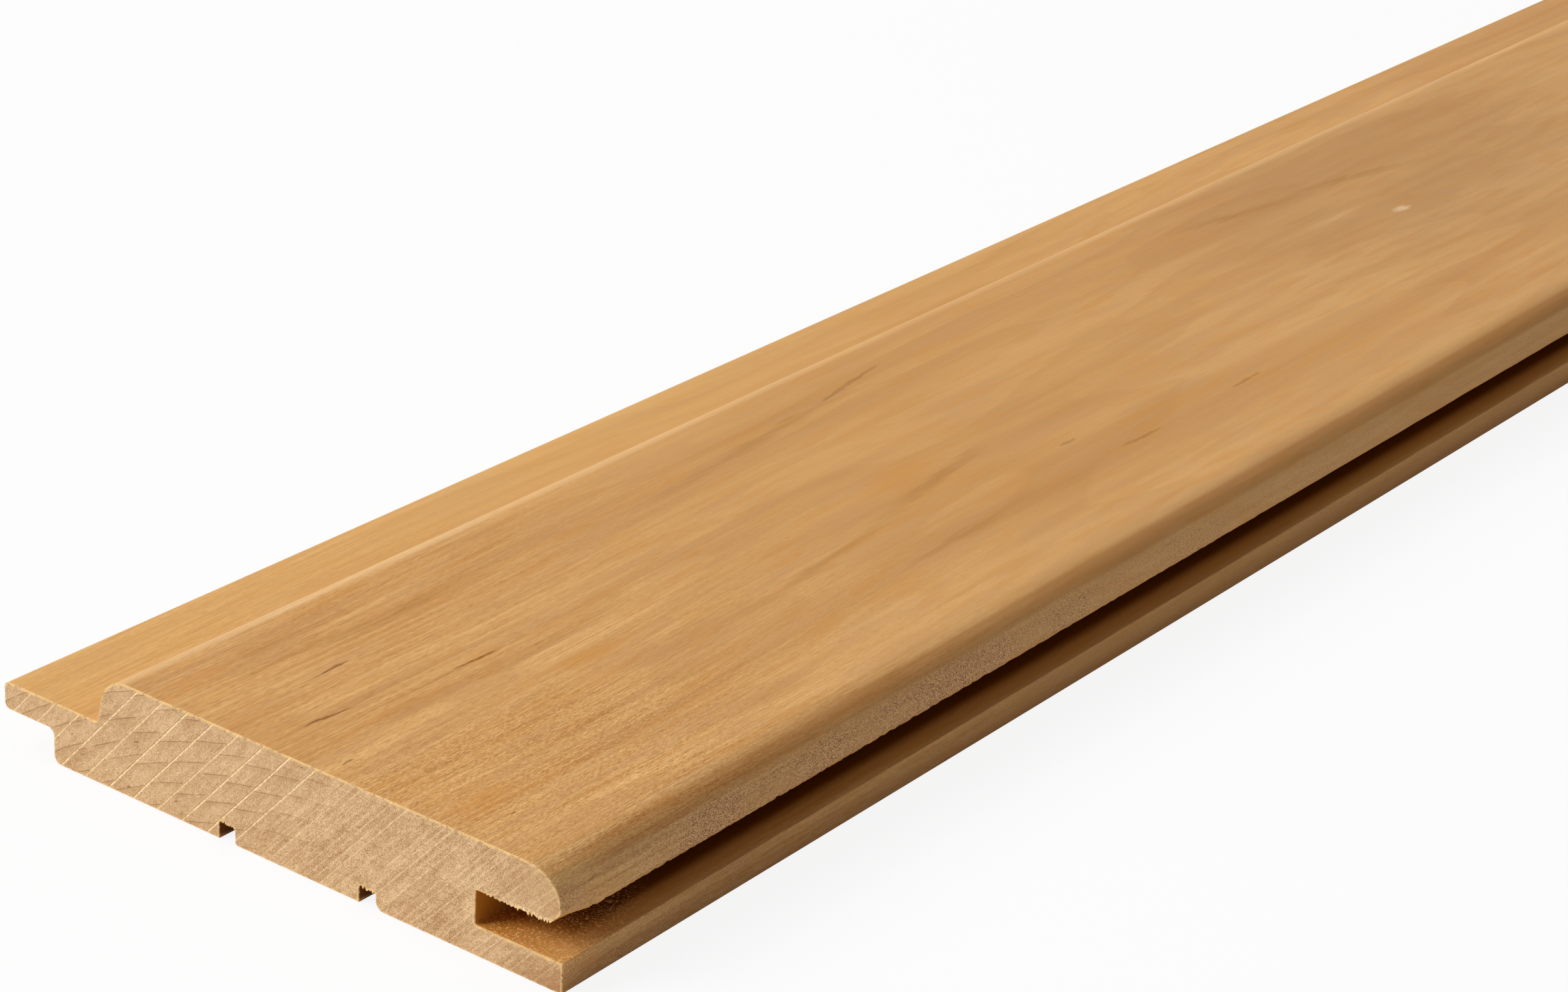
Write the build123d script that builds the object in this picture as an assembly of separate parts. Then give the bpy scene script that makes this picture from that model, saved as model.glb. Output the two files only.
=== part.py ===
"""Sauna lining board: one planed hardwood board with a long tongue, a deep groove and soft face edges.

X runs across the board (tongue at -X, groove at +X), Y along it, Z up.
The back lies on Z = 0 and the face looks up.
"""
import math
import os

from build123d import *

# Overall stock size
board_length = 1200.0
board_width = 90.0
board_thickness = 15.0

# Groove edge: two lips with the groove between them
lower_lip_thickness = 4.0
groove_height = 4.5
groove_depth = 13.0
groove_root_radius = 0.3
upper_lip_setback = 0.5
upper_lip_chamfer = 0.4
lip_arris_radius = 0.25

# Soft edge of the face above the groove, wider than it is deep
nose_round_width = 5.3
nose_round_drop = 4.3

# Tongue edge: the tongue is longer on the face side, which leaves a shadow gap between laid boards
tongue_length = 8.6
tongue_play_above = 0.2
tongue_play_below = 0.6
tongue_tip_radius = 0.8
shadow_gap = 7.7
gap_wall_lean = 12.0
gap_wall_round = 4.5
gap_root_radius = 0.3
shoulder_root_radius = 0.9
back_corner_radius = 1.1

# Relief grooves in the back, set evenly about the middle of the back
relief_width = 2.6
relief_depth = 2.2
relief_spacing = 22.5
relief_near_round = 1.2
relief_far_round = 0.5

# Levels and edges that follow from the sizes above
groove_edge = board_width / 2
tongue_tip = -board_width / 2
nose_edge = groove_edge - upper_lip_setback
groove_end = groove_edge - groove_depth
groove_floor = lower_lip_thickness
groove_ceiling = lower_lip_thickness + groove_height
tongue_under = groove_floor + tongue_play_below
tongue_top = groove_ceiling - tongue_play_above
back_shoulder = tongue_tip + tongue_length
gap_wall_foot = back_shoulder + shadow_gap
gap_wall_slope = math.tan(math.radians(gap_wall_lean))
gap_wall_head = gap_wall_foot + (board_thickness - tongue_top) * gap_wall_slope
back_middle = (groove_edge + back_shoulder) / 2
near_relief = back_middle + relief_spacing / 2
far_relief = back_middle - relief_spacing / 2


def rounded(before, corner, after, radius):
    """Start, middle and end of the arc that rounds a corner of the section."""
    to_before = (Vector(*before) - Vector(*corner)).normalized()
    to_after = (Vector(*after) - Vector(*corner)).normalized()
    half = math.acos(max(-1.0, min(1.0, to_before.dot(to_after)))) / 2
    run = radius / math.tan(half)
    inward = (to_before + to_after).normalized()
    middle = Vector(*corner) + inward * (radius / math.sin(half) - radius)
    return Vector(*corner) + to_before * run, middle, Vector(*corner) + to_after * run


def relief_corners(middle, near_round):
    """Corners of one relief groove, rounded only where its wall nearer the groove edge meets the back."""
    return [
        ((middle - relief_width / 2, 0.0), 0.0),
        ((middle - relief_width / 2, relief_depth), 0.0),
        ((middle + relief_width / 2, relief_depth), 0.0),
        ((middle + relief_width / 2, 0.0), near_round),
    ]


# Section corners with their radii, from the start of the nose curve round the tongue,
# along the back and up the groove edge to the foot of the nose curve
nose_start = (nose_edge - nose_round_width, board_thickness)
nose_foot = (nose_edge, board_thickness - nose_round_drop)
tongue_corners = [
    ((gap_wall_head, board_thickness), gap_wall_round),
    ((gap_wall_foot, tongue_top), gap_root_radius),
    ((tongue_tip, tongue_top), tongue_tip_radius),
    ((tongue_tip, tongue_under), tongue_tip_radius),
    ((back_shoulder, tongue_under), shoulder_root_radius),
    ((back_shoulder, 0.0), back_corner_radius),
]
back_corners = relief_corners(far_relief, relief_far_round) + relief_corners(near_relief, relief_near_round)
groove_corners = [
    ((groove_edge, 0.0), lip_arris_radius),
    ((groove_edge, groove_floor), lip_arris_radius),
    ((groove_end, groove_floor), groove_root_radius),
    ((groove_end, groove_ceiling), groove_root_radius),
    ((nose_edge - upper_lip_chamfer, groove_ceiling), 0.0),
    ((nose_edge, groove_ceiling + upper_lip_chamfer), 0.0),
]
corners = tongue_corners + back_corners + groove_corners

# The outline is drawn as straight runs joined by tangent arcs
path = [nose_start] + [point for point, radius in corners] + [nose_foot]
edges = []
pen = Vector(*nose_start)
for number, (point, radius) in enumerate(corners, start=1):
    if radius > 0:
        start, middle, end = rounded(path[number - 1], point, path[number + 1], radius)
        edges.append(Line(pen, start))
        edges.append(ThreePointArc(start, middle, end))
        pen = end
    else:
        edges.append(Line(pen, Vector(*point)))
        pen = Vector(*point)
edges.append(Line(pen, Vector(*nose_foot)))
nose_centre = (nose_edge - nose_round_width, board_thickness - nose_round_drop)
edges.append(EllipticalCenterArc(nose_centre, nose_round_width, nose_round_drop, arc_size=90))

section = make_face(edges)
board = extrude(Plane.XZ * section, amount=board_length / 2, both=True)

os.makedirs("parts", exist_ok=True)
export_step(board, "parts/board.step")
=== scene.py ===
# Looks of a planed sauna lining board: one moulded length of alder, sawn across at both ends.
# X runs across the board, Y along it and Z up. Lengths are millimetres unless a name says metres.
import math

import bpy
import numpy as np
from mathutils import Matrix, Vector, geometry, noise


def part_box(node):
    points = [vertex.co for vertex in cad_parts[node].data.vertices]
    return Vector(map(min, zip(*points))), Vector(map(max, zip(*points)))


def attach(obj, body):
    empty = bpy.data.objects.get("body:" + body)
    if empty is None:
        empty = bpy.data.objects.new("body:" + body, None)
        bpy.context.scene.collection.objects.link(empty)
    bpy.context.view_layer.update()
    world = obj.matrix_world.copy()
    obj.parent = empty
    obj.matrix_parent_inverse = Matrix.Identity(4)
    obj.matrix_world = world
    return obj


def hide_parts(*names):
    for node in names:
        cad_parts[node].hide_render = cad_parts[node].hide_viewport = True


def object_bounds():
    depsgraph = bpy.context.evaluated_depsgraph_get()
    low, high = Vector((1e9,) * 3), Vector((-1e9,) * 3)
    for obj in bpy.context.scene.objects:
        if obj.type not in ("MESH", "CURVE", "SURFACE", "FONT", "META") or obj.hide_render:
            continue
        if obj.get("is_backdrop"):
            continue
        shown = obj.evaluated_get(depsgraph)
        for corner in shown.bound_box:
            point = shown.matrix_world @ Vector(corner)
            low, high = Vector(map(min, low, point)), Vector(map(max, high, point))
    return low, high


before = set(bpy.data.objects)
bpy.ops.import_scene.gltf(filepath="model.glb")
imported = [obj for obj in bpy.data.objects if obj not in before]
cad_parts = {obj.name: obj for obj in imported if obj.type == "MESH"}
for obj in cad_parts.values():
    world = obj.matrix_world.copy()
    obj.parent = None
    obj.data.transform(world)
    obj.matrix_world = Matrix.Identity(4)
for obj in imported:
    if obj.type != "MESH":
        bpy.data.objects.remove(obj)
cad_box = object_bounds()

METRE = 0.001
lowest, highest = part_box("board")
board_width = (highest.x - lowest.x) / METRE
board_length = (highest.y - lowest.y) / METRE
board_thickness = (highest.z - lowest.z) / METRE
near_end = lowest.y / METRE

# Length for patterns that stay the same along an axis
endless = 1e6

# Section sizes, the same as in the part's source
lower_lip_thickness = 4.0
groove_height = 4.5
groove_depth = 13.0
groove_root_radius = 0.3
upper_lip_setback = 0.5
upper_lip_chamfer = 0.4
lip_arris_radius = 0.25
nose_round_width = 5.3
nose_round_drop = 4.3
tongue_length = 8.6
tongue_play_above = 0.2
tongue_play_below = 0.6
tongue_tip_radius = 0.8
shadow_gap = 7.7
gap_wall_lean = 12.0
gap_wall_round = 4.5
gap_root_radius = 0.3
shoulder_root_radius = 0.9
back_corner_radius = 1.1
relief_width = 2.6
relief_depth = 2.2
relief_spacing = 22.5
relief_near_round = 1.2
relief_far_round = 0.5

# Levels and edges that follow from the sizes
groove_edge = board_width / 2
tongue_tip = -board_width / 2
nose_edge = groove_edge - upper_lip_setback
groove_end = groove_edge - groove_depth
groove_floor = lower_lip_thickness
groove_ceiling = lower_lip_thickness + groove_height
tongue_under = groove_floor + tongue_play_below
tongue_top = groove_ceiling - tongue_play_above
back_shoulder = tongue_tip + tongue_length
gap_wall_foot = back_shoulder + shadow_gap
gap_wall_head = gap_wall_foot + (board_thickness - tongue_top) * math.tan(math.radians(gap_wall_lean))
back_middle = (groove_edge + back_shoulder) / 2
far_relief = back_middle - relief_spacing / 2
near_relief = back_middle + relief_spacing / 2
nose_start = np.array([nose_edge - nose_round_width, board_thickness])
nose_foot = np.array([nose_edge, board_thickness - nose_round_drop])

# Wear of the wood: torn grain, sawn edges and a chip under the nose at the near end
arris_width = 0.09
pit_depth = 0.17
pit_fade = 62.0
pit_end = 165.0
torn_height = 11.8
smooth_height = 13.8
floor_fuzz = 0.12
lip_ripple = 0.06
tooth_height = 0.45
tooth_run = 0.6
pit_slant = math.radians(25.0)
chip_depth = 1.1
chip_length = 9.0
chip_lean = math.radians(-44.0)
lip_trim = 0.32
lip_fray_near = 0.38
lip_fray_far = 0.12
lip_fray_fade = 50.0
lip_fray_end = 130.0
cap_relief = 0.05

# Camera of the photograph: lens and sensor in millimetres, angles in degrees, place in metres
camera_lens = 89.84
camera_sensor = 36.0
camera_turn = 35.9
camera_pitch = 24.08
camera_roll = 3.12
camera_place = (0.28296, -0.89164, 0.23043)
camera_nearest = 0.01

# Studio floor and room, in metres
floor_metres = 30.0
floor_gap_metres = 0.0001
floor_paleness = 0.85
floor_whiteness = 0.88
room_level = 0.35

# Lamps, all aimed at one place near the end: name, place and size in metres, and level on a white card
lamp_aim = (0.0, -0.5, 0.0)
lamps = [
    ("key", (-0.95, -1.6, 0.9), 0.75, 0.8),
    ("top", (-1.2, -0.6, 1.6), 1.4, 0.29),
    ("back", (-0.6, 2.0, 1.2), 1.2, 0.12),
    ("fill", (1.2, -0.9, 1.6), 1.0, 0.04),
]

# Detail of the grid: rings at the ends, along the torn stretch and along the rest
AT_END, TORN, PLAIN = 0, 1, 2
stretches = [
    (2.0, 0.25, AT_END),
    (60.0, 0.4, TORN),
    (160.0, 1.0, TORN),
    (420.0, 4.0, PLAIN),
    (board_length - 2.0, 14.0, PLAIN),
    (board_length, 0.4, AT_END),
]
cap_step = 0.5
cap_margin = 0.3
sharp_edge_degrees = 50.0

# Colour map: the least length that a ring takes up, and the greater worth of the stretch that shows
least_map_step = 0.8
shown_length = 420.0
shown_worth = 1.5

# Steps of each run of the section: along the rest, times in the torn stretch, times at the ends,
# and the share of the colour map that a millimetre of it gets
run_detail = {
    "face": (14, 1, 12, 1.0),
    "gap_round": (8, 1, 2, 1.0),
    "gap_wall": (2, 1, 4, 1.0),
    "gap_root": (3, 1, 1, 1.0),
    "tongue_top": (5, 1, 9, 0.9),
    "tip_round": (4, 1, 1, 0.8),
    "tongue_tip": (1, 1, 5, 0.8),
    "tongue_under": (3, 1, 7, 0.5),
    "shoulder_root": (4, 1, 1, 0.5),
    "shoulder": (1, 1, 6, 0.6),
    "back_corner": (4, 1, 2, 0.6),
    "back": (6, 1, 11, 0.55),
    "relief_wall": (1, 1, 6, 0.5),
    "relief_roof": (2, 1, 9, 0.5),
    "relief_round": (3, 1, 2, 0.5),
    "lip_foot": (2, 1, 2, 1.0),
    "lip_side": (4, 3, 2, 1.0),
    "lip_edge": (2, 2, 1, 1.0),
    "groove_floor": (6, 7, 2, 0.7),
    "groove_root": (2, 1, 2, 0.5),
    "groove_wall": (1, 4, 3, 0.5),
    "groove_roof": (6, 2, 8, 0.5),
    "lip_chamfer": (2, 2, 1, 1.0),
    "nose_side": (2, 4, 1, 1.2),
    "nose_round": (10, 3, 1, 1.2),
}


def rise(value, low, high):
    """Smooth step from 0 at low to 1 at high."""
    share = np.clip((value - low) / (high - low), 0.0, 1.0)
    return share * share * (3.0 - 2.0 * share)


def lumps(places, size):
    """Smooth noise from -1 to 1 at each place, with lumps of about that size along X, Y and Z."""
    return np.array([noise.noise(place) for place in (places / np.array(size)).tolist()])


def straight(start, end):
    """Curve along a straight run, by share from 0 to 1."""
    return lambda share: start + (end - start) * share


def bend(before, corner, after, radius):
    """Start, end and curve of the arc that rounds a corner."""
    to_before = (before - corner) / np.linalg.norm(before - corner)
    to_after = (after - corner) / np.linalg.norm(after - corner)
    half = math.acos(np.clip(to_before @ to_after, -1.0, 1.0)) / 2
    centre = corner + (to_before + to_after) * radius / math.sin(2 * half)
    start = corner + to_before * radius / math.tan(half)
    end = corner + to_after * radius / math.tan(half)
    sweep = math.pi - 2 * half

    def curve(share):
        first = math.sin(sweep * (1 - share)) * (start - centre)
        second = math.sin(sweep * share) * (end - centre)
        return centre + (first + second) / math.sin(sweep)

    return start, end, curve


def nose_curve(share):
    """Quarter ellipse from the foot of the nose up to the face."""
    angle = share * math.pi / 2
    width = nose_round_width * math.cos(angle)
    drop = nose_round_drop * math.sin(angle)
    return np.array([nose_start[0] + width, nose_foot[1] + drop])


def relief_corners(middle, near_round):
    """Corners of one relief groove in the back, rounded only on the side of the groove edge."""
    left = middle - relief_width / 2
    right = middle + relief_width / 2
    return [
        ((left, 0.0), 0.0, "", "relief_wall"),
        ((left, relief_depth), 0.0, "", "relief_roof"),
        ((right, relief_depth), 0.0, "", "relief_wall"),
        ((right, 0.0), near_round, "relief_round", "back"),
    ]


# Corners of the section from the face round the tongue to the nose: place, radius, bend and next run
section_corners = [
    ((gap_wall_head, board_thickness), gap_wall_round, "gap_round", "gap_wall"),
    ((gap_wall_foot, tongue_top), gap_root_radius, "gap_root", "tongue_top"),
    ((tongue_tip, tongue_top), tongue_tip_radius, "tip_round", "tongue_tip"),
    ((tongue_tip, tongue_under), tongue_tip_radius, "tip_round", "tongue_under"),
    ((back_shoulder, tongue_under), shoulder_root_radius, "shoulder_root", "shoulder"),
    ((back_shoulder, 0.0), back_corner_radius, "back_corner", "back"),
    *relief_corners(far_relief, relief_far_round),
    *relief_corners(near_relief, relief_near_round),
    ((groove_edge, 0.0), lip_arris_radius, "lip_foot", "lip_side"),
    ((groove_edge, groove_floor), lip_arris_radius, "lip_edge", "groove_floor"),
    ((groove_end, groove_floor), groove_root_radius, "groove_root", "groove_wall"),
    ((groove_end, groove_ceiling), groove_root_radius, "groove_root", "groove_roof"),
    ((nose_edge - upper_lip_chamfer, groove_ceiling), 0.0, "", "lip_chamfer"),
    ((nose_edge, groove_ceiling + upper_lip_chamfer), 0.0, "", "nose_side"),
]


def section_runs():
    """The section as named runs and bends in order, each with its curve."""
    path = [nose_start] + [np.array(corner[0]) for corner in section_corners] + [nose_foot]
    runs = []
    pen = nose_start
    name = "face"
    for number, (_, radius, bend_name, next_name) in enumerate(section_corners, start=1):
        end = path[number]
        if radius > 0:
            start, end, curve = bend(path[number - 1], path[number], path[number + 1], radius)
            runs.append((name, straight(pen, start)))
            runs.append((bend_name, curve))
        else:
            runs.append((name, straight(pen, end)))
        pen = end
        name = next_name
    runs.append((name, straight(pen, nose_foot)))
    runs.append(("nose_round", nose_curve))
    return runs


class Section:
    """Points round the section with their regions, outward normals, detail and share of the colour map."""

    def __init__(self):
        points = []
        regions = []
        levels = []
        for region, curve in section_runs():
            plain, torn, at_end, _ = run_detail[region]
            count = plain * torn * at_end
            for step in range(count):
                points.append(curve(step / count))
                regions.append(region)
                coarse = step % (torn * at_end) == 0
                middle = step % at_end == 0
                levels.append(PLAIN if coarse else TORN if middle else AT_END)
        self.points = np.array(points)
        self.regions = np.array(regions)
        self.count = len(points)
        after = np.roll(self.points, -1, axis=0) - self.points
        length = np.linalg.norm(after, axis=1)
        way = after / length[:, None]
        way = way + np.roll(way, 1, axis=0)
        way = way / np.linalg.norm(way, axis=1)[:, None]
        self.normals = np.stack([way[:, 1], -way[:, 0]], axis=1)
        share = np.array([run_detail[region][3] for region in regions])
        across = np.concatenate([[0.0], np.cumsum(length * share)])
        self.across = across / across[-1]
        self.rings = [np.flatnonzero(np.array(levels) >= level) for level in (AT_END, TORN, PLAIN)]
        self.order = [np.searchsorted(ring, np.arange(self.count + 1)) % len(ring) for ring in self.rings]

    def spans(self, level):
        """Neighbouring places round a ring; the place after the last stands for the first again."""
        ring = self.rings[level]
        return zip(ring, np.append(ring[1:], self.count))


def stations():
    """Distances of the rings from the near end, with the detail of each ring."""
    places = [(0.0, AT_END), (arris_width, AT_END)]
    for end, step, level in stretches:
        start = places[-1][0]
        count = max(1, round((end - start) / step))
        for number in range(1, count + 1):
            places.append((start + (end - start) * number / count, level))
    places.insert(-1, (board_length - arris_width, AT_END))
    return places


def chipped(places):
    """Pushes the under edge of the nose back to where it has broken away."""
    along = places[:, 1]
    fray = lumps(places, (endless, 1.1, endless)) + 0.6 * lumps(places, (endless, 0.45, endless))
    chip = chip_depth * (1.0 - rise(along + 0.8 * fray, 0.0, chip_length)) + 0.12 * fray
    calmed = rise(along, lip_fray_fade, lip_fray_end)
    lip_fray = lip_fray_near + (lip_fray_far - lip_fray_near) * calmed
    depth = np.maximum(chip, lip_trim + lip_fray * fray)
    outward = np.array([math.cos(chip_lean), 0.0, math.sin(chip_lean)])
    edge = np.array([nose_edge, 0.0, groove_ceiling])
    beyond = ((places - edge) * np.array([1.0, 0.0, 1.0])) @ outward + depth
    near_edge = (places[:, 0] > nose_edge - 3.0) & (places[:, 2] > groove_ceiling - 1.0)
    push = np.where(near_edge, np.maximum(beyond, 0.0), 0.0)
    return places - push[:, None] * outward


def wood_loss(regions, places):
    """How far below the clean moulded surface the wood lies at each place, and how torn it is there."""
    along = places[:, 1]
    height = places[:, 2]
    to_end = np.minimum(along, board_length - along)
    loss = np.zeros(len(places))
    torn = np.zeros(len(places))

    nose = np.isin(regions, ("nose_side", "nose_round"))
    spots = places[nose]
    low_part = 1.0 - rise(height[nose], torn_height, smooth_height)
    fade = 1.0 - rise(along[nose], pit_fade, pit_end)
    ragged = rise(along[nose], 8.0, 26.0) + 0.5 * (1.0 - rise(along[nose], 2.0, 6.0))
    patch = ragged * (0.45 + 0.55 * rise(lumps(spots, (20.0, 9.0, 20.0)), -0.25, 0.2))
    pits = rise(lumps(spots, (0.5, 0.75, 0.36)) + 0.35 * lumps(spots, (0.25, 0.3, 0.2)), 0.1, 0.5)
    loss[nose] = low_part * fade * (pit_depth * patch * pits + 0.02 * lumps(spots, (0.3, 1.2, 0.25)) + 0.02)
    torn[nose] = low_part * (0.25 + 0.75 * fade) * (0.2 + 0.8 * patch)

    lip = np.isin(regions, ("lip_side", "lip_edge"))
    spots = places[lip]
    ripple = lumps(spots, (1.0, 3.5, 0.4)) + 0.6 * lumps(spots, (1.0, 0.7, 0.25))
    loss[lip] = lip_ripple * np.clip(0.5 + 0.5 * ripple, 0.0, 1.0)
    torn[lip] = (0.6 - 0.35 * rise(along[lip], 10.0, 45.0)) * rise(ripple, -0.6, 0.6)

    floor = regions == "groove_floor"
    spots = places[floor]
    fuzz = lumps(spots, (0.55, 0.45, 1.0)) + 0.5 * lumps(spots, (0.22, 0.3, 1.0))
    loss[floor] = floor_fuzz * (0.5 + 0.5 * fuzz + 0.4 * lumps(spots, (3.0, 7.0, 1.0)))

    roof = np.isin(regions, ("groove_roof", "relief_roof"))
    spots = places[roof]
    teeth = lumps(spots, (0.3, 5.0, 9.0)) + 0.8 * lumps(spots + 40.0, (0.17, 5.0, 9.0))
    clean_root = rise(spots[:, 0], groove_end + 0.8, groove_end + 2.2)
    clean_lip = 1.0 - rise(spots[:, 0], nose_edge - 1.4, nose_edge - 0.5)
    ragged = np.where(regions[roof] == "groove_roof", clean_root * clean_lip, 1.1)
    loss[roof] = tooth_height * ragged * teeth * np.exp(-((to_end[roof] / tooth_run) ** 2))

    at_end = to_end < arris_width / 2
    loss[at_end] += arris_width * (0.75 + 0.5 * lumps(places[at_end], (0.9, 1.0, 0.9)))
    return loss, torn


def inside(points, outline):
    """Which points lie within a closed outline, by counting the edges to their right."""
    x, z = points[:, :1], points[:, 1:]
    start = outline
    end = np.roll(outline, -1, axis=0)
    spans = (start[:, 1] > z) != (end[:, 1] > z)
    rise_of = np.where(end[:, 1] == start[:, 1], 1.0, end[:, 1] - start[:, 1])
    crossing = start[:, 0] + (z - start[:, 1]) / rise_of * (end[:, 0] - start[:, 0])
    return (np.count_nonzero(spans & (crossing > x), axis=1) % 2) == 1


def cap_points(outline):
    """Staggered points over the end face, clear of its outline."""
    rows = np.arange(0.0, board_thickness, cap_step * 0.9)
    columns = np.arange(tongue_tip, groove_edge, cap_step)
    x, z = np.meshgrid(columns, rows)
    x = x + cap_step / 2 * (np.arange(len(rows)) % 2)[:, None]
    grid = np.stack([x.ravel(), z.ravel()], axis=1)
    grid = grid[inside(grid, outline)]
    gaps = np.linalg.norm(grid[:, None, :] - outline[None, :, :], axis=2).min(axis=1)
    return grid[gaps > cap_margin]


def cap_faces(outline, grid):
    """Triangles over an end face, by their places in the outline followed by the grid."""
    points = [Vector(point) for point in np.vstack([outline, grid])]
    edges = [(number, (number + 1) % len(outline)) for number in range(len(outline))]
    _, _, faces, sources, _, _ = geometry.delaunay_2d_cdt(points, edges, [], 1, 1e-6)
    return [tuple(sources[corner][0] for corner in face) for face in faces]


class BoardMesh:
    """Collects the board's vertices, faces and colour map, then makes the mesh."""

    cap_rows = 0.11
    map_edge = 0.004

    def __init__(self):
        self.section = Section()
        self.stations = stations()
        self.faces = []
        self.map = []
        self.end_grain = []
        self.lay_rings()
        self.join_rings()
        self.close_end(0, 0.0)
        self.close_end(len(self.stations) - 1, board_length)

    def lay_rings(self):
        """Vertices of every ring, worn from the clean section, and the rows of the colour map."""
        rings = [self.section.rings[level] for _, level in self.stations]
        sizes = [len(ring) for ring in rings]
        self.starts = np.concatenate([[0], np.cumsum(sizes)])
        order = np.concatenate(rings)
        distances = np.array([place for place, _ in self.stations])
        along = np.repeat(distances, sizes)
        points = self.section.points[order]
        normals = self.section.normals[order]
        places = np.stack([points[:, 0], along, points[:, 1]], axis=1)
        outward = np.stack([normals[:, 0], np.zeros(len(order)), normals[:, 1]], axis=1)
        loss, self.torn = wood_loss(self.section.regions[order], places)
        self.vertices = chipped(places - loss[:, None] * outward)
        to_end = np.minimum(along, board_length - along)
        self.arris = np.where(to_end < arris_width * 1.01, 1.0, 0.0)
        worth = np.maximum(np.diff(distances), least_map_step)
        worth *= np.where(distances[1:] < shown_length, shown_worth, 1.0)
        down = np.concatenate([[0.0], np.cumsum(worth)])
        first_row = 2 * self.cap_rows + 3 * self.map_edge
        self.down = first_row + (1.0 - first_row - self.map_edge) * down / down[-1]

    def corner(self, station, number):
        """Vertex at a place round one ring; the place after the last is the first again."""
        return int(self.starts[station] + self.section.order[self.stations[station][1]][number])

    def spot(self, station, number):
        """Place of a ring's point on the colour map."""
        width = 1.0 - 2 * self.map_edge
        return self.map_edge + width * self.section.across[number], self.down[station]

    def add(self, corners, end_grain):
        """One face between rings, given by station and place round the ring."""
        self.faces.append(tuple(self.corner(*corner) for corner in corners))
        self.map.extend(self.spot(*corner) for corner in corners)
        self.end_grain.append(end_grain)

    def join_rings(self):
        """Faces along the board from each ring to the next."""
        last = len(self.stations) - 2
        for near in range(last + 1):
            far = near + 1
            end_grain = 1.0 if near in (0, last) else 0.0
            if self.stations[near][1] != self.stations[far][1]:
                self.fan_rings(near, far, end_grain)
                continue
            for left, right in self.section.spans(self.stations[near][1]):
                self.add([(near, left), (far, left), (far, right), (near, right)], end_grain)

    def fan_rings(self, near, far, end_grain):
        """Faces between rings of different detail: the finer one's points are fanned to the coarser one."""
        fine, coarse = sorted((near, far), key=lambda station: self.stations[station][1])
        fine_ring = self.section.rings[self.stations[fine][1]]
        for left, right in self.section.spans(self.stations[coarse][1]):
            between = [*fine_ring[(fine_ring >= left) & (fine_ring < right)], right]
            middle = len(between) // 2
            triangles = [[(coarse, left), (fine, between[middle]), (coarse, right)]]
            for number, (first, second) in enumerate(zip(between, between[1:])):
                apex = left if number < middle else right
                triangles.append([(coarse, apex), (fine, first), (fine, second)])
            for triangle in triangles:
                self.add(triangle if coarse == near else triangle[::-1], end_grain)

    def close_end(self, station, along):
        """End face over one ring, very slightly uneven from the saw."""
        near = station == 0
        start = int(self.starts[station])
        outline = self.vertices[start:self.starts[station + 1]][:, [0, 2]]
        grid = cap_points(outline)
        places = np.stack([grid[:, 0], np.full(len(grid), along), grid[:, 1]], axis=1)
        uneven = np.clip(0.5 + 0.5 * lumps(places, (0.8, 1.0, 2.5)), 0.0, 1.0)
        places[:, 1] += cap_relief * uneven * (1.0 if near else -1.0)
        both = np.vstack([outline, grid])
        first_inner = len(self.vertices)
        numbers = [*range(start, start + len(outline)), *range(first_inner, first_inner + len(grid))]
        self.vertices = np.vstack([self.vertices, places])
        self.torn = np.append(self.torn, np.zeros(len(grid)))
        self.arris = np.append(self.arris, np.zeros(len(grid)))
        row = self.map_edge if near else 2 * self.map_edge + self.cap_rows
        across = self.map_edge + (1.0 - 2 * self.map_edge) * (both[:, 0] - tongue_tip) / board_width
        up = row + self.cap_rows * both[:, 1] / board_thickness
        for face in cap_faces(outline, grid):
            turned = face if near else face[::-1]
            self.faces.append(tuple(numbers[corner] for corner in turned))
            self.map.extend((across[corner], up[corner]) for corner in turned)
            self.end_grain.append(1.0)

    def build(self, name):
        """The finished mesh object, in metres."""
        mesh = bpy.data.meshes.new(name)
        placed = (self.vertices + np.array([0.0, near_end, 0.0])) * METRE
        mesh.from_pydata(placed.tolist(), [], self.faces)
        layer = mesh.uv_layers.new(name="OFBake")
        layer.data.foreach_set("uv", np.array(self.map, dtype=np.float32).ravel())
        labels = [
            ("torn", "POINT", self.torn),
            ("arris", "POINT", self.arris),
            ("end_grain", "FACE", self.end_grain),
        ]
        for label, domain, values in labels:
            attribute = mesh.attributes.new(label, "FLOAT", domain)
            attribute.data.foreach_set("value", np.array(values, dtype=np.float32))
        mesh.shade_smooth()
        mesh.set_sharp_from_angle(angle=math.radians(sharp_edge_degrees))
        made = bpy.data.objects.new(name, mesh)
        bpy.context.scene.collection.objects.link(made)
        return made


def srgb(red, green, blue):
    """A colour given as it looks on screen, 0 to 255, in the linear values that shaders take."""
    screen = np.array([red, green, blue]) / 255.0
    linear = np.where(screen <= 0.04045, screen / 12.92, ((screen + 0.055) / 1.055) ** 2.4)
    return (*linear.tolist(), 1.0)


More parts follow.
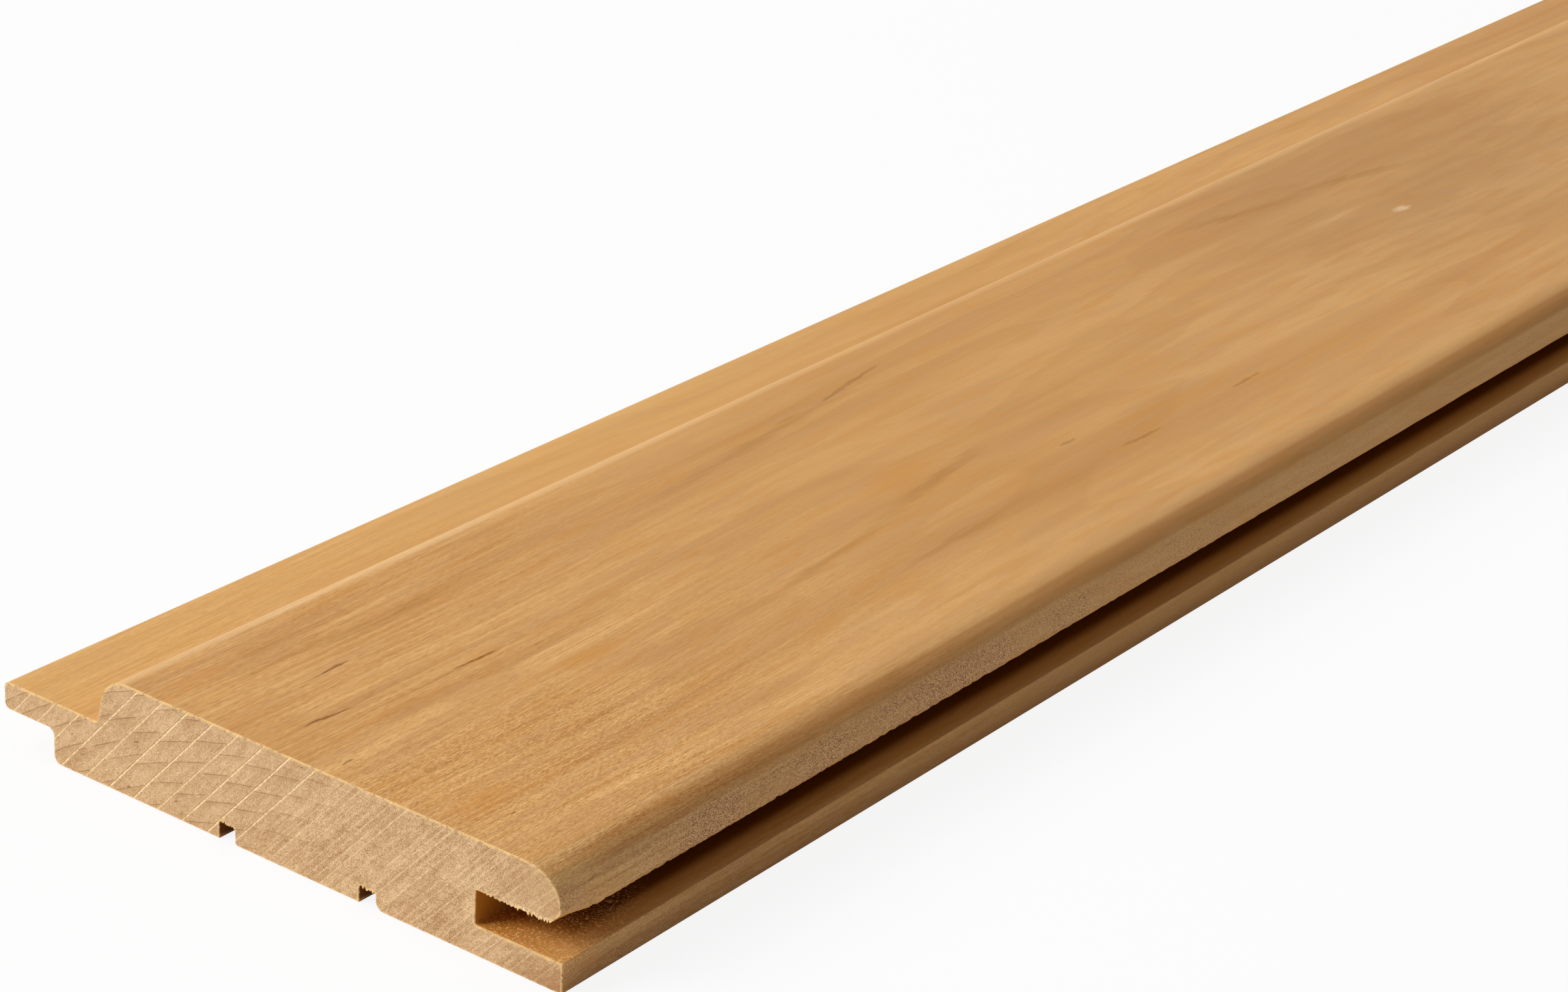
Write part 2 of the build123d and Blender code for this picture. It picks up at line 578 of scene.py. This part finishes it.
class Shader:
    """Adds shader nodes by plain calls; each call returns the new node's output."""

    def __init__(self, tree):
        tree.nodes.clear()
        self.tree = tree

    def node(self, kind, inputs, output=0, **settings):
        """A node with its settings made and its inputs set to values or joined to outputs."""
        made = self.tree.nodes.new(kind)
        for name, value in settings.items():
            setattr(made, name, value)
        for key, value in inputs.items():
            if isinstance(value, bpy.types.NodeSocket):
                self.tree.links.new(value, made.inputs[key])
            else:
                made.inputs[key].default_value = value
        return made.outputs[output] if made.outputs else None

    def math(self, operation, *values):
        """A sum, product or like step on plain numbers."""
        return self.node("ShaderNodeMath", dict(enumerate(values)), operation=operation)

    def vector(self, operation, *values, output="Vector"):
        """A step on places."""
        return self.node("ShaderNodeVectorMath", dict(enumerate(values)), output, operation=operation)

    def attribute(self, name):
        """A value that the mesh carries."""
        return self.node("ShaderNodeAttribute", {}, "Fac", attribute_name=name)

    def noise(self, where, size, detail=1.0, shift=0.0, output=0):
        """Soft noise from 0 to 1 with lumps of about that size along each axis."""
        scale = tuple(1.0 / length for length in size)
        spread = self.vector("MULTIPLY_ADD", where, scale, (shift, shift, shift))
        return self.node("ShaderNodeTexNoise", {"Vector": spread, "Scale": 1.0, "Detail": detail}, output)

    def jitter(self, where, size, reach, shift=0.0):
        """The place pushed about by noise, at most half of reach along each axis."""
        push = self.noise(where, size, shift=shift, output="Color")
        push = self.vector("SUBTRACT", push, (0.5, 0.5, 0.5))
        return self.vector("MULTIPLY_ADD", push, reach, where)

    def layers(self, where, rows):
        """Sum of several noises about zero, each with its size, weight and shift."""
        total = 0.0
        for size, weight, shift in rows:
            lump = self.math("SUBTRACT", self.noise(where, size, 0.0, shift), 0.5)
            total = self.math("MULTIPLY_ADD", lump, weight, total)
        return total

    def chance(self, number):
        """A number from 0 to 1 that differs for each whole number."""
        return self.node("ShaderNodeTexWhiteNoise", {"W": number}, noise_dimensions="1D")

    def ramp(self, value, low, high, start=0.0, end=1.0):
        """Smooth step of a value from one limit to another."""
        inputs = {"Value": value, "From Min": low, "From Max": high, "To Min": start, "To Max": end}
        return self.node("ShaderNodeMapRange", inputs, interpolation_type="SMOOTHSTEP")

    def mix(self, amount, first, second, blend="MIX"):
        """A mix of two colours."""
        inputs = {0: amount, 6: first, 7: second}
        return self.node("ShaderNodeMix", inputs, 2, data_type="RGBA", blend_type=blend)

    def spot(self, where, middle, half, turn=(0.0, 0.0, 0.0)):
        """Soft ellipsoid: 1 at its middle, 0 from its surface on."""
        inputs = {"Vector": where, "Location": middle, "Rotation": turn, "Scale": half}
        local = self.node("ShaderNodeMapping", inputs, vector_type="TEXTURE")
        reach = self.vector("LENGTH", local, output="Value")
        return self.ramp(reach, 0.0, 1.0, 1.0, 0.0)

    def most(self, values):
        """The largest of several values."""
        best = values[0]
        for value in values[1:]:
            best = self.math("MAXIMUM", best, value)
        return best


# Heart of the tree as seen on the end, and the width of a year's growth
heart_x = 18.0
heart_z = -85.0
ring_width = 2.7

# Rays on the end: lean, spacing along X, the place where one of them meets the face and where they fade out
ray_lean = math.radians(47.5)
ray_spacing = 4.15
ray_start = -21.6
ray_fade = 10.0
fine_ray_spacing = 1.17

# Layers of the planed figure: width and length of its streaks, weight and shift of the pattern
broad_figure = [
    (20.0, 260.0, 0.24, 0.0),
    (8.0, 170.0, 0.18, 5.0),
    (3.6, 110.0, 0.17, 9.0),
    (1.8, 60.0, 0.13, 14.0),
]
fine_figure = [
    (0.9, 40.0, 0.3, 20.0),
    (0.45, 24.0, 0.34, 27.0),
    (0.24, 12.0, 0.3, 33.0),
    (0.13, 3.0, 0.24, 39.0),
    (0.07, 1.0, 0.55, 45.0),
]

# Fibres show most at the near end and calm down to a share along the board
calm_start = 12.0
calm_end = 120.0
calm_share = 0.15

# Layers of the sawn end: width and length of its lumps along the rays, weight and shift of the pattern
broad_grain = [
    (7.0, 10.0, 0.3, 2.0),
    (2.4, 6.0, 0.35, 8.0),
    (1.0, 2.6, 0.4, 15.0),
    (0.45, 1.0, 0.5, 22.0),
]
fine_grain = [
    (0.22, 0.36, 0.8, 28.0),
    (0.11, 0.16, 1.5, 35.0),
    (0.06, 0.08, 1.2, 42.0),
]

# Pith flecks on the face: distance along, place across, length, drift across, width
face_flecks = [
    (19.6, -8.8, 8.5, -0.5, 0.6),
    (11.0, -0.4, 10.5, 1.25, 0.6),
    (33.5, 2.3, 11.0, 0.85, 0.6),
    (4.0, 9.0, 3.5, -0.3, 0.6),
    (7.5, 31.0, 1.0, 0.0, 0.5),
    (141.0, 18.2, 6.0, 0.2, 0.9),
    (150.0, 24.9, 13.0, 0.6, 0.9),
    (179.0, 24.6, 12.0, -0.2, 0.9),
    (137.0, -16.9, 25.0, -3.75, 1.0),
]

# Pale speck of a pin knot far along the face: distance along, place across, length, drift across, width
face_knots = [
    (262.5, 4.5, 7.0, 0.6, 3.0),
]

# Paler wood beside the knot: distance along, place across, length, drift across, width
face_pales = [
    (250.0, -1.0, 18.0, 0.8, 3.4),
]

# Broad dark streaks of the figure: distance along, place across, length, drift across, width
face_streaks = [
    (31.0, -13.8, 75.0, 4.4, 3.0),
    (112.0, -13.8, 90.0, -8.2, 3.5),
    (85.0, 17.0, 50.0, -5.0, 3.0),
    (118.0, 12.0, 50.0, -7.5, 3.5),
    (106.0, 25.2, 50.0, -2.5, 2.5),
    (240.0, -13.7, 42.0, 8.0, 3.0),
    (272.0, -9.0, 40.0, 9.0, 3.0),
]

# Broad duller, darker patch over the face far along, round the knot: distance along, place across, length,
# drift across, width
face_shades = [
    (275.0, -6.0, 190.0, 0.0, 90.0),
]

# Orange stains: distance along, place across, length, drift across, width
face_stains = [
    (44.0, 12.0, 18.0, 0.0, 6.0),
    (116.0, 7.8, 26.0, -2.0, 9.0),
    (7.5, 26.5, 16.0, 0.0, 9.0),
]

# Flecks on the end: place across, height, length, rise in degrees
end_fleck_height = 0.32
end_flecks = [
    (-26.1, 12.05, 0.5, 0.0),
    (-22.0, 7.9, 1.5, 20.0),
    (-23.5, 1.4, 1.25, 15.0),
    (-15.4, 2.25, 1.25, 25.0),
    (-25.3, 2.6, 0.4, 0.0),
    (-31.4, 3.0, 0.4, 0.0),
    (-33.3, 5.1, 0.45, 10.0),
    (-0.75, 1.8, 0.5, 10.0),
    (12.3, 8.6, 0.5, 10.0),
    (26.9, 8.0, 0.5, 0.0),
    (5.2, 14.3, 0.9, 5.0),
    (8.7, 2.5, 0.5, 0.0),
]


def years(s, place):
    """Growth of the tree at a place, counted in years from its heart."""
    flat = s.vector("MULTIPLY_ADD", place, (1.0, 0.0, 1.0), (-heart_x, 0.0, -heart_z))
    return s.math("DIVIDE", s.vector("LENGTH", flat, output="Value"), ring_width)


def marks_along(s, place, rows, depth):
    """Largest of several soft marks that lie along the face."""
    marks = []
    for along, across, length, drift, width in rows:
        turn = (0.0, 0.0, math.atan2(-drift, length))
        marks.append(s.spot(place, (across, along, board_thickness), (width / 2, length / 2, depth), turn))
    return s.most(marks)


def plain_figure(s, place, drift, away):
    """Planed figure in honey colours, broad streaks with fibres on them; also the fibres alone."""
    broad = s.layers(drift, [((width, length, width), *rest) for width, length, *rest in broad_figure])
    fine = s.layers(drift, [((width, length, width), *rest) for width, length, *rest in fine_figure])
    across = s.node("ShaderNodeSeparateXYZ", {0: place}, "X")
    calm = s.ramp(away, calm_start, calm_end, 1.0, calm_share)
    rough = s.ramp(across, nose_edge - 5.0, nose_edge - 0.5, 1.0, 1.5)
    fine = s.math("MULTIPLY", fine, rough)
    woolly = s.spot(place, (30.0, 0.0, 12.0), (34.0, 75.0, 12.0))
    wool = s.math("SUBTRACT", s.noise(place, (0.09, 0.55, 0.09), 0.0, 71.0), 0.5)
    fine = s.math("MULTIPLY_ADD", wool, s.ramp(woolly, 0.0, 0.5), s.math("MULTIPLY", fine, calm))
    tone = s.math("ADD", s.math("ADD", broad, fine), 0.5)
    colour = s.mix(tone, srgb(171, 110, 54), srgb(242, 196, 132))

    hue = s.noise(drift, (2.6, 22.0, 2.6), 1.0, 47.0)
    colour = s.mix(s.ramp(hue, 0.45, 0.65, 0.0, 0.32), colour, srgb(198, 150, 102))
    warmth = s.noise(drift, (1.6, 13.0, 1.6), 1.0, 51.0)
    colour = s.mix(s.ramp(warmth, 0.52, 0.68, 0.0, 0.28), colour, srgb(208, 146, 74))

    bent = s.jitter(drift, (9.0, 60.0, 9.0), (9.0, 0.0, 5.0), 7.0)
    wander = s.noise(bent, (30.0, 110.0, 30.0), 1.0, 3.0)
    year = s.math("FRACT", s.math("MULTIPLY_ADD", wander, 3.0, years(s, bent)))
    late = s.math("MULTIPLY", s.ramp(year, 0.35, 0.93), s.ramp(year, 1.0, 0.93))
    colour = s.mix(s.math("MULTIPLY", late, 0.14), colour, srgb(172, 117, 60))
    pore = s.noise(drift, (0.12, 2.4, 0.12), 0.0, 43.0)
    pore = s.math("MULTIPLY", s.ramp(pore, 0.62, 0.72, 0.0, 0.25), calm)
    return s.mix(pore, colour, srgb(142, 87, 40)), fine


def soft_marks(s, ragged, colour):
    """Stains, a broad duller patch and broad streaks on the face."""
    stains = marks_along(s, ragged, face_stains, 4.0)
    colour = s.mix(s.math("MULTIPLY", stains, 0.5), colour, srgb(206, 143, 72))
    shades = marks_along(s, ragged, face_shades, 9.0)
    colour = s.mix(s.ramp(shades, 0.0, 0.7, 0.0, 0.25), colour, srgb(162, 116, 78))
    streaks = marks_along(s, ragged, face_streaks, 4.0)
    return s.mix(s.math("MULTIPLY", streaks, 0.38), colour, srgb(164, 112, 58))


def painted_hollow_light_and_shade(s, place, away, colour):
    """Painted shade and light: the lower lip darker towards the floor; browner colour inside the grooves,
    partly the wood's own and partly painted shade, with the nose's shadow painted on the groove floor;
    painted golden light at the groove's open end.
    """
    # Painted shade: the lower lip darker towards the floor.
    low = s.spot(place, (groove_edge + 2.0, 0.0, -2.0), (17.0, endless, 6.5))
    colour = s.mix(s.math("MULTIPLY", low, 0.75), colour, srgb(142, 90, 38))
    # Browner inside the groove, partly the wood's own colour and partly painted shade, with the nose's
    # shadow painted darker on the floor.
    hollow = (groove_end + 3.5, 0.0, groove_floor + 2.3)
    wide = s.spot(place, hollow, (12.5, endless, 5.7))
    tight = s.spot(place, hollow, (9.0, endless, 5.7))
    # Painted light on the groove floor at its open end: golden there, with less painted shade.
    mouth = s.spot(place, (groove_edge - 4.0, -1.0, groove_floor), (9.5, 10.0, 1.5))
    painted_brown_shade = s.math("MULTIPLY", s.ramp(wide, 0.0, 0.15), s.ramp(mouth, 0.0, 0.8, 0.6, 0.3))
    colour = s.mix(painted_brown_shade, colour, srgb(202, 127, 40))
    painted_groove_shadow = s.math("MULTIPLY", s.ramp(tight, 0.0, 0.2), s.ramp(mouth, 0.0, 0.8, 0.98, 0.3))
    painted_groove_shadow = s.math("MULTIPLY", painted_groove_shadow, s.ramp(away, 1.0, 14.0, 0.9, 1.0))
    # The painted shadow is lighter and golden at the open end and darker further in.
    inner = s.mix(s.ramp(away, 0.0, 14.0), srgb(184, 114, 30), srgb(120, 62, 0))
    colour = s.mix(painted_groove_shadow, colour, inner)
    colour = s.mix(s.math("MULTIPLY", mouth, 0.5), colour, srgb(210, 144, 70))
    # Painted shade in the relief grooves.
    reliefs = []
    for middle in (far_relief, near_relief):
        reliefs.append(s.spot(place, (middle, 0.0, relief_depth), (3.0, endless, 3.0)))
    return s.mix(s.ramp(s.most(reliefs), 0.0, 0.25, 0.0, 0.95), colour, srgb(112, 63, 18))


def painted_edge_light_and_shade(s, place, away, colour):
    """Painted highlights on the lip's edge and the gap's edge, a paler tongue partly painted light, and
    darker colour where the nose turns down, partly the wood's figure and partly painted shade.
    """
    # Painted highlight along the lip's edge.
    lip = s.spot(place, (groove_edge, 0.0, groove_floor), (0.6, endless, 0.6))
    colour = s.mix(s.math("MULTIPLY", lip, 0.4), colour, srgb(214, 162, 104))
    # Darker where the nose turns down, away from the end: partly the wood's figure, partly painted shade.
    turned = s.spot(place, (nose_edge - 1.6, 0.0, board_thickness - 1.0), (2.6, endless, 1.6))
    turned = s.math("MULTIPLY", s.ramp(turned, 0.0, 0.5, 0.0, 0.42), s.ramp(away, 0.0, 14.0))
    colour = s.mix(turned, colour, srgb(164, 99, 38))
    # Paler tongue, partly the wood's tone and partly painted light, fading along the board.
    tongue = s.spot(place, (tongue_tip, 0.0, tongue_top), (22.0, endless, 5.0))
    tongue = s.math("MULTIPLY", s.ramp(tongue, 0.0, 0.4), s.ramp(away, 90.0, 230.0, 0.38, 0.08))
    colour = s.mix(tongue, colour, srgb(224, 176, 110))
    # Painted highlight along the gap's edge, fading along the board.
    edge = s.spot(place, (gap_wall_head + 2.6, 0.0, board_thickness - 0.4), (1.9, endless, 1.3))
    edge = s.math("MULTIPLY", s.ramp(edge, 0.0, 0.8), s.ramp(away, 20.0, 160.0, 0.42, 0.17))
    return s.mix(edge, colour, srgb(238, 202, 152))


def sharp_marks(s, place, ragged, away, colour):
    """Pith flecks and the pin knot with the paler wood beside it."""
    frayed = s.jitter(place, (0.4, 2.5, 0.4), (0.8, 3.0, 0.0), 9.0)
    flecks = marks_along(s, frayed, face_flecks, 0.5)
    flecks = s.math("MULTIPLY", s.ramp(flecks, 0.02, 0.4), s.ramp(away, calm_start, calm_end, 0.62, 0.28))
    colour = s.mix(flecks, colour, srgb(112, 64, 18))
    pales = marks_along(s, ragged, face_pales, 1.0)
    colour = s.mix(s.math("MULTIPLY", pales, 0.4), colour, srgb(226, 186, 138))
    knot = marks_along(s, frayed, face_knots, 1.0)
    return s.mix(s.ramp(knot, 0.0, 0.8, 0.0, 0.6), colour, srgb(238, 208, 168))


def side_colour(s, place):
    """Colour of the planed sides, with painted light and shade in the grooves and along the edges; also
    their fibres alone.
    """
    away = s.node("ShaderNodeSeparateXYZ", {0: place}, "Y")
    drift = s.jitter(place, (45.0, 140.0, 45.0), (7.0, 0.0, 5.0))
    ragged = s.jitter(place, (0.8, 7.0, 0.8), (2.4, 8.0, 0.0), 5.0)
    colour, fine = plain_figure(s, place, drift, away)
    colour = soft_marks(s, ragged, colour)
    colour = painted_hollow_light_and_shade(s, place, away, colour)
    colour = painted_edge_light_and_shade(s, place, away, colour)
    colour = sharp_marks(s, place, ragged, away, colour)
    return colour, fine


def sawn_grain(s, turned, clear):
    """Specks and soft bands of the sawn end; also the specks alone."""
    broad = s.layers(turned, [((width, 1.0, length), *rest) for width, length, *rest in broad_grain])
    fine = s.layers(turned, [((width, 1.0, length), *rest) for width, length, *rest in fine_grain])
    strength = s.ramp(clear, 0.0, 1.0, 1.0, 0.7)
    tone = s.math("MULTIPLY_ADD", s.math("ADD", broad, fine), strength, 0.5)
    colour = s.mix(tone, srgb(162, 117, 74), srgb(237, 204, 160))
    band = s.noise(turned, (0.8, 1.0, 14.0), 1.0, 19.0)
    paler = s.math("MULTIPLY", s.ramp(band, 0.5, 0.62), s.ramp(clear, 0.0, 1.0, 0.22, 0.12))
    colour = s.mix(paler, colour, srgb(232, 199, 152))
    darker = s.math("MULTIPLY", s.ramp(band, 0.5, 0.38), s.ramp(clear, 0.0, 1.0, 0.25, 0.12))
    return s.mix(darker, colour, srgb(184, 142, 97)), fine


def growth_lines(s, flat, wavy, count, clear, colour):
    """Broken arcs of the yearly growth, stepped from ray to ray."""
    step = s.chance(s.math("FLOOR", count))
    year = s.math("FRACT", s.math("MULTIPLY_ADD", step, 0.6, years(s, wavy)))
    broken = s.ramp(s.noise(flat, (2.4, 1.0, 1.2), 1.0, 13.0), 0.28, 0.46)
    shown = s.math("MULTIPLY", broken, s.ramp(clear, 0.0, 1.0, 0.3, 0.8))
    shade = s.math("MULTIPLY", s.ramp(year, 0.45, 0.97), s.math("MULTIPLY", shown, 0.3))
    colour = s.mix(shade, colour, srgb(172, 128, 84))
    line = s.math("MULTIPLY", s.ramp(year, 0.94, 0.98), shown)
    return s.mix(s.math("MULTIPLY", line, 0.7), colour, srgb(136, 94, 56))


def ray_lines(s, turned, count, clear, colour):
    """Clear rays on the tongue side, each pale with a dark line, and finer ones on the groove side."""
    nearest = s.math("ROUND", count)
    worth = s.math("MULTIPLY_ADD", s.chance(nearest), 0.35, 0.65)
    away = s.math("MULTIPLY", s.math("SUBTRACT", count, nearest), ray_spacing * math.sin(ray_lean))
    bead = s.ramp(s.noise(turned, (0.3, 1.0, 0.5), 0.0, 29.0), 0.38, 0.56, 0.4, 1.0)
    shown = s.math("MULTIPLY", s.math("MULTIPLY", clear, worth), bead)
    ray = s.math("MULTIPLY", s.ramp(s.math("ABSOLUTE", away), 0.23, 0.13), shown)
    colour = s.mix(ray, colour, srgb(248, 220, 170))
    core = s.ramp(s.math("ABSOLUTE", s.math("ADD", away, 0.09)), 0.09, 0.03)
    core = s.math("MULTIPLY", core, s.math("MULTIPLY", clear, worth))
    colour = s.mix(s.math("MULTIPLY", core, 0.8), colour, srgb(144, 96, 48))

    fine_count = s.math("MULTIPLY", count, ray_spacing / fine_ray_spacing)
    nearest = s.math("ROUND", fine_count)
    worth = s.math("MULTIPLY", s.chance(nearest), s.ramp(clear, 0.0, 1.0, 0.6, 0.0))
    worth = s.math("MULTIPLY", worth, bead)
    away = s.math("ABSOLUTE", s.math("SUBTRACT", fine_count, nearest))
    colour = s.mix(s.math("MULTIPLY", s.ramp(away, 0.12, 0.04), worth), colour, srgb(246, 218, 170))
    between = s.math("MULTIPLY", s.ramp(away, 0.15, 0.25, 0.0, 0.3), worth)
    return s.mix(between, colour, srgb(186, 142, 98))


def end_spots(s, flat, wavy, colour):
    """Lower lip darker towards the floor as painted shade, warmer nose, pale tufts under the nose and dark
    flecks.
    """
    # Painted shade: the lower lip darker on the end towards the floor.
    painted_brown_shade = s.spot(flat, (groove_edge + 2.0, 0.0, -1.0), (17.0, 1.0, 8.0))
    colour = s.mix(s.math("MULTIPLY", painted_brown_shade, 0.75), colour, srgb(166, 116, 72))
    nose = s.spot(flat, (groove_edge - 3.0, 0.0, groove_ceiling + 3.5), (9.0, 1.0, 6.0))
    colour = s.mix(s.math("MULTIPLY", nose, 0.35), colour, srgb(190, 144, 96))
    fringe = s.spot(flat, (groove_edge - 5.0, 0.0, groove_ceiling - 0.3), (6.5, 1.0, 1.3))
    tufts = s.ramp(s.noise(flat, (0.25, 1.0, 0.45), 0.0, 77.0), 0.42, 0.58)
    fringe = s.math("MULTIPLY", s.ramp(fringe, 0.0, 0.5, 0.0, 0.8), tufts)
    colour = s.mix(fringe, colour, srgb(246, 218, 172))
    marks = []
    for across, height, length, lift in end_flecks:
        tilt = (0.0, math.radians(-lift), 0.0)
        marks.append(s.spot(wavy, (across, 0.0, height), (length / 2, 1.0, end_fleck_height / 2), tilt))
    return s.mix(s.math("MULTIPLY", s.most(marks), 0.85), colour, srgb(112, 72, 38))


def end_colour(s, place):
    """Colour of the pale sawn ends; also their specks alone."""
    flat = s.vector("MULTIPLY", place, (1.0, 0.0, 1.0))
    wavy = s.jitter(flat, (7.0, 1.0, 7.0), (0.45, 0.0, 0.45))
    turn = (0.0, ray_lean - math.pi / 2, 0.0)
    turned = s.node("ShaderNodeMapping", {"Vector": flat, "Rotation": turn}, vector_type="POINT")
    nearly = s.jitter(flat, (7.0, 1.0, 7.0), (0.12, 0.0, 0.12))
    parts = s.node("ShaderNodeSeparateXYZ", {0: nearly}).node.outputs
    run = 1.0 / math.tan(ray_lean)
    drop = s.math("MULTIPLY_ADD", parts["Z"], -run, board_thickness * run - ray_start)
    count = s.math("DIVIDE", s.math("ADD", parts["X"], drop), ray_spacing)
    last_ray = (ray_fade - ray_start) / ray_spacing
    clear = s.ramp(count, last_ray + 1.0, last_ray - 1.0)
    colour, fine = sawn_grain(s, turned, clear)
    colour = growth_lines(s, flat, wavy, count, clear, colour)
    colour = ray_lines(s, turned, count, clear, colour)
    colour = end_spots(s, flat, wavy, colour)
    return colour, fine


def torn_colour(s, place, torn, side):
    """Paler wood with slanted pits and specks where the grain is torn, the pits darkened partly as the torn
    wood's own colour and partly as painted shade; also the pits alone.
    """
    slanted = s.node("ShaderNodeMapping", {"Vector": place, "Rotation": (pit_slant, 0.0, 0.0)})
    pits = s.ramp(s.noise(slanted, (0.4, 0.3, 0.11), 1.0, 53.0), 0.52, 0.62)
    pits = s.math("MULTIPLY", pits, torn)
    side = s.mix(s.math("MULTIPLY", torn, 0.6), side, srgb(226, 172, 124))
    # Dark pits: partly the torn wood's own colour, partly painted shade in the recesses.
    side = s.mix(s.math("MULTIPLY", pits, 0.75), side, srgb(104, 68, 40))
    specks = s.noise(slanted, (0.2, 0.22, 0.12), 0.0, 83.0)
    dark = s.math("MULTIPLY", s.ramp(specks, 0.48, 0.3, 0.0, 0.6), torn)
    side = s.mix(dark, side, srgb(116, 76, 44))
    pale = s.math("MULTIPLY", s.ramp(specks, 0.52, 0.7, 0.0, 0.7), torn)
    return s.mix(pale, side, srgb(244, 196, 146)), pits


def loose_hairs(s, place):
    """Curled loose fibres on the groove floor near the end."""
    loose = s.jitter(place, (0.4, 0.4, 0.4), (0.5, 0.5, 0.5), 67.0)
    curl = s.math("ABSOLUTE", s.math("SUBTRACT", s.noise(loose, (0.42, 0.42, 0.42), 0.0, 61.0), 0.5))
    fuzzy = s.spot(place, (groove_edge - 6.0, 0.0, groove_floor), (10.0, 26.0, 2.0))
    return s.math("MULTIPLY", s.ramp(curl, 0.055, 0.015), s.ramp(fuzzy, 0.0, 0.4))


def wood_material():
    """Alder: planed along the sides, sawn at the ends, torn where the moulder lifted the grain."""
    material = bpy.data.materials.new("alder")
    material.use_nodes = True
    s = Shader(material.node_tree)
    coordinates = s.node("ShaderNodeTexCoord", {}, "Object")
    per_metre = (1.0 / METRE, 1.0 / METRE, 1.0 / METRE)
    place = s.vector("MULTIPLY_ADD", coordinates, per_metre, (0.0, -near_end, 0.0))
    end = s.attribute("end_grain")
    torn = s.attribute("torn")
    arris = s.attribute("arris")

    side, fibre = side_colour(s, place)
    side, pits = torn_colour(s, place, torn, side)
    hairs = loose_hairs(s, place)
    side = s.mix(s.math("MULTIPLY", hairs, 0.85), side, srgb(250, 198, 124))
    sawn, grain = end_colour(s, place)
    colour = s.mix(end, side, sawn)
    chips = s.ramp(s.noise(place, (0.7, 1.0, 0.7), 1.0, 57.0), 0.36, 0.52)
    edge = s.math("MULTIPLY", s.ramp(arris, 0.4, 1.0, 0.0, 0.75), chips)
    colour = s.mix(edge, colour, srgb(238, 198, 134))

    lifted = s.math("MULTIPLY_ADD", torn, 0.2, 0.5)
    roughness = s.math("MULTIPLY_ADD", end, 0.25, lifted)
    height = s.node("ShaderNodeMix", {0: end, 2: fibre, 3: grain})
    height = s.math("ADD", s.math("MULTIPLY_ADD", pits, -1.5, height), hairs)
    normal = s.node("ShaderNodeBump", {"Height": height, "Strength": 0.28, "Distance": 0.12 * METRE})
    looks = {"Base Color": colour, "Roughness": roughness, "Normal": normal, "Specular IOR Level": 0.01}
    surface = s.node("ShaderNodeBsdfPrincipled", looks)
    s.node("ShaderNodeOutputMaterial", {"Surface": surface})
    return material


def seen_directly(s):
    """1 for rays that show the background itself, 0 for the light that it gives."""
    path = s.node("ShaderNodeLightPath", {}).node.outputs
    return s.most([path["Is Camera Ray"], path["Is Glossy Ray"], path["Is Transmission Ray"]])


def lay_floor():
    """Pale floor that keeps the board's shadow."""
    mesh = bpy.data.meshes.new("floor")
    half = floor_metres / 2
    corners = [(-half, -half, 0.0), (half, -half, 0.0), (half, half, 0.0), (-half, half, 0.0)]
    mesh.from_pydata(corners, [], [(0, 1, 2, 3)])
    made = bpy.data.objects.new("floor", mesh)
    made.location = (0.0, 0.0, -floor_gap_metres)
    bpy.context.scene.collection.objects.link(made)
    material = bpy.data.materials.new("floor")
    material.use_nodes = True
    s = Shader(material.node_tree)
    matt = s.node("ShaderNodeBsdfDiffuse", {"Color": (floor_paleness, floor_paleness, floor_paleness, 1.0)})
    white = s.node("ShaderNodeEmission", {"Strength": 1.0})
    amount = s.math("MULTIPLY", seen_directly(s), floor_whiteness)
    surface = s.node("ShaderNodeMixShader", {0: amount, 1: matt, 2: white})
    s.node("ShaderNodeOutputMaterial", {"Surface": surface})
    mesh.materials.append(material)
    made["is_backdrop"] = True


def light_room():
    """Soft even light from all round, seen as white."""
    world = bpy.data.worlds.new("studio")
    world.use_nodes = True
    bpy.context.scene.world = world
    s = Shader(world.node_tree)
    strength = s.math("MULTIPLY_ADD", seen_directly(s), 1.0 - room_level, room_level)
    surface = s.node("ShaderNodeBackground", {"Strength": strength})
    s.node("ShaderNodeOutputWorld", {"Surface": surface})


def softbox(name, place, size, level):
    """Square lamp aimed at the near end; level is how bright it makes a white card that faces it there."""
    lamp = bpy.data.lights.new(name, "AREA")
    lamp.size = size
    reach = Vector(lamp_aim) - Vector(place)
    lamp.energy = level * (math.pi * reach.length) ** 2
    made = bpy.data.objects.new(name, lamp)
    made.location = place
    made.rotation_euler = reach.to_track_quat("-Z", "Y").to_euler()
    bpy.context.scene.collection.objects.link(made)


def place_camera():
    """Camera where the photograph was taken from."""
    turn, pitch, roll = (math.radians(angle) for angle in (camera_turn, camera_pitch, camera_roll))
    flat = math.cos(pitch)
    ahead = Vector((-math.sin(turn) * flat, math.cos(turn) * flat, -math.sin(pitch)))
    level = Vector((math.cos(turn), math.sin(turn), 0.0))
    above = level.cross(ahead)
    right = math.cos(roll) * level + math.sin(roll) * above
    up = math.cos(roll) * above - math.sin(roll) * level
    lens = bpy.data.cameras.new("camera")
    lens.lens = camera_lens
    lens.sensor_width = camera_sensor
    lens.clip_start = camera_nearest
    made = bpy.data.objects.new("camera", lens)
    axes = Matrix((right, up, -ahead)).transposed().to_4x4()
    made.matrix_world = Matrix.Translation(camera_place) @ axes
    bpy.context.scene.collection.objects.link(made)
    bpy.context.scene.camera = made


board = BoardMesh().build("board_wood")
board.data.materials.append(wood_material())
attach(board, "root")
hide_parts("board")

lay_floor()
light_room()
for lamp in lamps:
    softbox(*lamp)
place_camera()
bpy.context.scene.view_settings.view_transform = "Standard"

boxes = {"cad": cad_box, "visual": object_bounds()}
{name: [list(corner) for corner in box] for name, box in boxes.items()}
